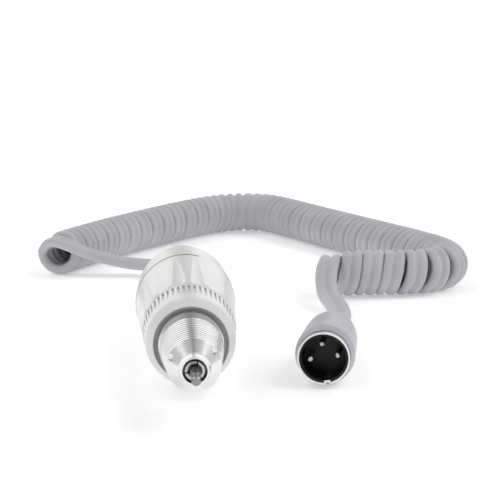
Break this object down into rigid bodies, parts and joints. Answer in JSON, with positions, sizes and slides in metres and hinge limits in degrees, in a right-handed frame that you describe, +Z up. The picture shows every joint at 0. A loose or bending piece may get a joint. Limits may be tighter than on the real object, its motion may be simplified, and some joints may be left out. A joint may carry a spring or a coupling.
{
  "type": "micromotor handpiece",
  "caption": "Straight dental micromotor handpiece with twist-lock collet chuck, a curly flat cord and a round pin plug.",
  "frame": {"origin": "on the surface the handpiece lies on, under the middle of its length", "axes": "+Z up, +Y from the nose towards the rear of the handpiece as seen from above, +X to the right when looking at the nose"},
  "size_m": [0.1382, 0.2736, 0.0268],
  "materials": {
    "satin_aluminium": "satin turned",
    "ivory_plastic": "semi gloss",
    "bronze_clip": "plain",
    "hardened_steel": "ground",
    "polished_mandrel": "polished",
    "bearing_steel": "polished",
    "brass_cam": "turned",
    "yoke_steel": "zinc plated",
    "lamination_steel": "stamped",
    "ferrite": "fired",
    "copper_wire": "enamelled",
    "carbon": "pressed",
    "insulating_plastic": "moulded",
    "circuit_board": "laminate",
    "wire_sheath": "extruded",
    "seal_rubber": "moulded",
    "cord_jacket": "satin",
    "plug_plastic": "satin",
    "nickel_plate": "plated",
    "black_insulator": "moulded"
  },
  "bodies": {
    "handpiece": {"nose_cap": "satin_aluminium", "grooved_sleeve": "satin_aluminium", "bearing_carrier": "satin_aluminium", "front_end_plate": "satin_aluminium", "rear_end_plate": "satin_aluminium", "front_shell": "ivory_plastic", "rear_shell": "ivory_plastic", "rear_cap": "ivory_plastic", "snap_ring": "bronze_clip", "brush_springs": "hardened_steel", "cord_clamp": "hardened_steel", "cap_screws": "hardened_steel", "plug_clamp": "hardened_steel", "front_bearing_outer_ring": "bearing_steel", "front_bearing_balls": "bearing_steel", "middle_bearing_outer_ring": "bearing_steel", "middle_bearing_balls": "bearing_steel", "motor_front_bearing_outer_ring": "bearing_steel", "motor_front_bearing_balls": "bearing_steel", "motor_rear_bearing_outer_ring": "bearing_steel", "motor_rear_bearing_balls": "bearing_steel", "motor_yoke": "yoke_steel", "magnets": "ferrite", "brushes": "carbon", "brush_holder": "insulating_plastic", "terminal_board": "circuit_board", "lead_wires": "wire_sheath", "plug_wires": "wire_sheath", "seal_ring": "seal_rubber", "cord_handpiece_lead": "cord_jacket", "cord_coil": "cord_jacket", "cord_plug_lead": "cord_jacket", "cord_boot": "cord_jacket", "plug_boot": "cord_jacket", "plug_body": "plug_plastic", "plug_shell": "nickel_plate", "plug_pins": "nickel_plate", "plug_insulator": "black_insulator", "plug_liner": "black_insulator"},
    "rotor": {"spindle": "hardened_steel", "front_bearing_inner_ring": "bearing_steel", "middle_bearing_inner_ring": "bearing_steel", "chuck_spring": "hardened_steel", "motor_shaft": "hardened_steel", "armature_core": "lamination_steel", "windings": "copper_wire", "commutator": "copper_wire", "drive_coupling": "hardened_steel", "motor_front_bearing_inner_ring": "bearing_steel", "motor_rear_bearing_inner_ring": "bearing_steel"},
    "chuck": {"collet": "hardened_steel", "draw_nut": "hardened_steel", "cross_pin": "hardened_steel", "release_collar": "hardened_steel"},
    "mandrel": {"mandrel": "polished_mandrel"},
    "twist_lock": {"twist_ring": "ivory_plastic", "cam_ring": "brass_cam"},
    "release": {"release_sleeve": "satin_aluminium", "cam_pins": "hardened_steel"}
  },
  "joints": [
    {"name": "motor_spin", "type": "hinge", "parent": "handpiece", "child": "rotor", "pos_m": [0, 0.01934, 0.01306], "axis": [0, -0.9994, 0.0349], "continuous": true},
    {"name": "ring_twist", "type": "hinge", "parent": "handpiece", "child": "twist_lock", "pos_m": [0, -0.03063, 0.01481], "axis": [0, 0.9994, -0.0349], "range_deg": [0, 60]},
    {"name": "release_slide", "type": "slide", "parent": "handpiece", "child": "release", "axis": [0, -0.9994, 0.0349], "range_m": [0, 0.0008]},
    {"name": "chuck_slide", "type": "slide", "parent": "rotor", "child": "chuck", "axis": [0, -0.9994, 0.0349], "range_m": [0, 0.0008], "deforming": ["chuck_spring"]},
    {"name": "mandrel_draw", "type": "slide", "parent": "chuck", "child": "mandrel", "axis": [0, -0.9994, 0.0349], "range_m": [0, 0.045]}
  ],
  "couplings": [
    {"joint": "release_slide", "follows": "ring_twist", "m_per_rad": 0.00076299},
    {"joint": "chuck_slide", "follows": "ring_twist", "m_per_rad": 0.00076299}
  ]
}
